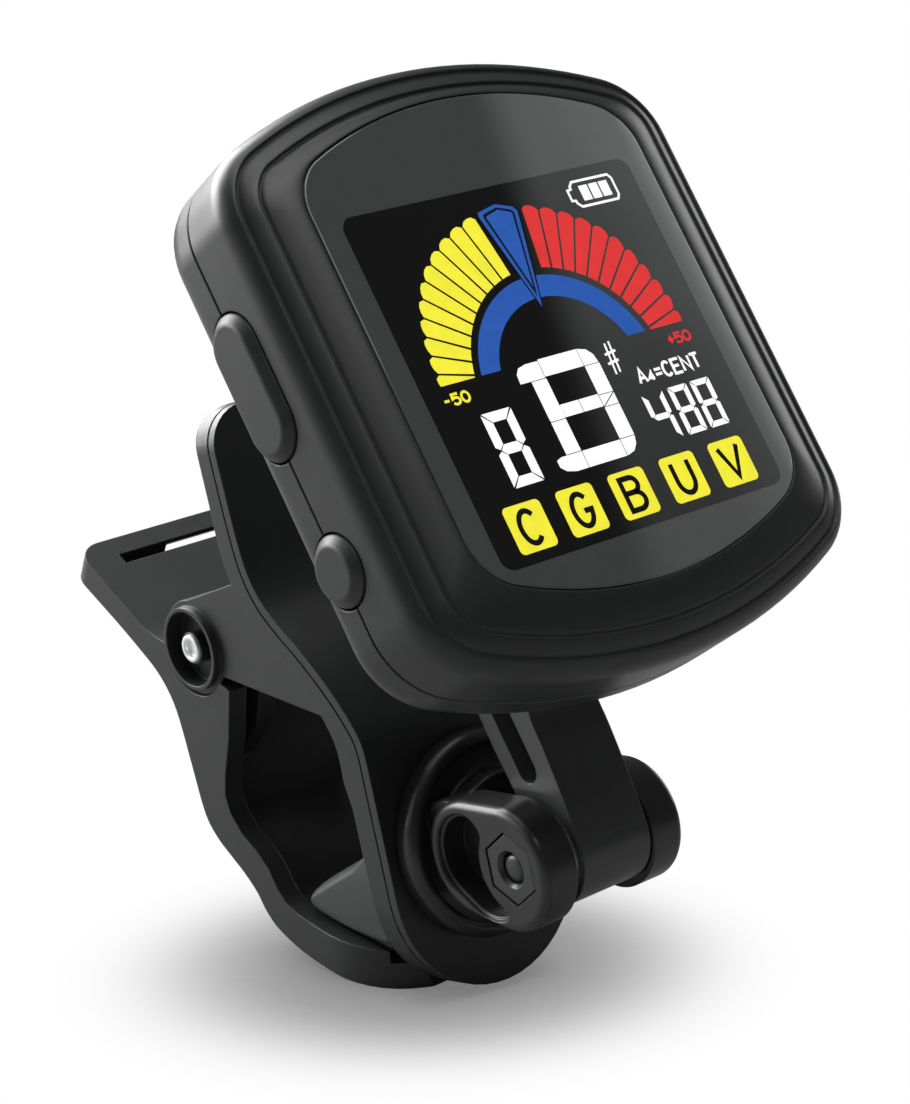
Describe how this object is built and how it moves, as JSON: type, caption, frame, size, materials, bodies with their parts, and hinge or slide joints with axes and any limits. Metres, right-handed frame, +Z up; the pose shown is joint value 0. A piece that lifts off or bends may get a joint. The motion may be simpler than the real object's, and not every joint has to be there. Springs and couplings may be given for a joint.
{
  "type": "clip-on tuner",
  "caption": "Clip-on tuner: a square display head with side buttons and a coin cell door, on a tilting and swivelling arm carried by a sprung two-lever clip.",
  "frame": {"origin": "the clamping point between the two jaws, on the clip's centre plane", "axes": "+X to the right seen from the display side, along the clip's pivot; -Y the way the display faces; +Z up the display, from the jaws towards the top of the head"},
  "size_m": [0.0437, 0.0614, 0.0638],
  "materials": {
    "case_plastic": "satin dark grey moulded plastic",
    "lens_panel": "glossy clear panel with a dark printed back",
    "display": "black display glass",
    "diffuser": "white diffuser",
    "flex_film": "amber film",
    "board": "green solder mask",
    "chip_plastic": "black moulded",
    "switch_metal": "plain",
    "button_plastic": "satin dark grey",
    "cell_steel": "bright",
    "contact_brass": "plain",
    "seal_rubber": "smooth",
    "dark_steel": "black oxide",
    "arm_plastic": "semi-gloss black moulded plastic",
    "washer_steel": "plain",
    "clip_plastic": "satin dark grey moulded plastic",
    "pin_steel": "bright, with dished ends",
    "spring_steel": "plain spring wire",
    "pad_rubber": "soft dark grey"
  },
  "bodies": {
    "clip_front": {"front_lever": "clip_plastic", "pivot_pin": "pin_steel", "front_pad": "pad_rubber", "torsion_spring": "spring_steel"},
    "clip_rear": {"rear_lever": "clip_plastic", "rear_pad": "pad_rubber"},
    "yoke": {"swivel_yoke": "arm_plastic", "hinge_bolt": "dark_steel", "hinge_nut": "dark_steel", "friction_washers": "washer_steel", "swivel_screw": "dark_steel", "swivel_washer": "washer_steel"},
    "head": {"front_case": "case_plastic", "rear_case": "case_plastic", "front_lens": "lens_panel", "display_panel": "display", "backlight": "diffuser", "flex_cable": "flex_film", "main_board": "board", "board_chips": "chip_plastic", "tact_switches": "switch_metal", "coin_cell": "cell_steel", "cell_contact_top": "contact_brass", "cell_contact_side": "cell_steel", "piezo_disc": "contact_brass", "case_screws": "dark_steel", "head_arm": "arm_plastic", "arm_screws": "dark_steel"},
    "long_button": {"power_button": "button_plastic"},
    "round_button": {"mode_button": "button_plastic"},
    "battery_door": {"battery_cover": "case_plastic", "cover_seal": "seal_rubber"}
  },
  "joints": [
    {"name": "clip_open", "type": "hinge", "parent": "clip_front", "child": "clip_rear", "pos_m": [0, 0, 0.0265], "axis": [1, 0, 0], "range_deg": [0, 35], "deforming": ["torsion_spring"]},
    {"name": "head_swivel", "type": "hinge", "parent": "clip_front", "child": "yoke", "pos_m": [0, -0.0132, 0.002], "axis": [0, -0.9272, -0.3746], "continuous": true},
    {"name": "head_tilt", "type": "hinge", "parent": "yoke", "child": "head", "pos_m": [0, -0.02492, -0.00274], "axis": [1, 0, 0], "range_deg": [-20, 120]},
    {"name": "power_press", "type": "slide", "parent": "head", "child": "long_button", "axis": [1, 0, 0], "range_m": [0, 0.0004]},
    {"name": "mode_press", "type": "slide", "parent": "head", "child": "round_button", "axis": [1, 0, 0], "range_m": [0, 0.0004]},
    {"name": "door_turn", "type": "hinge", "parent": "head", "child": "battery_door", "pos_m": [0, -0.0372, 0.0325], "axis": [0, -1, 0], "range_deg": [0, 40]}
  ]
}
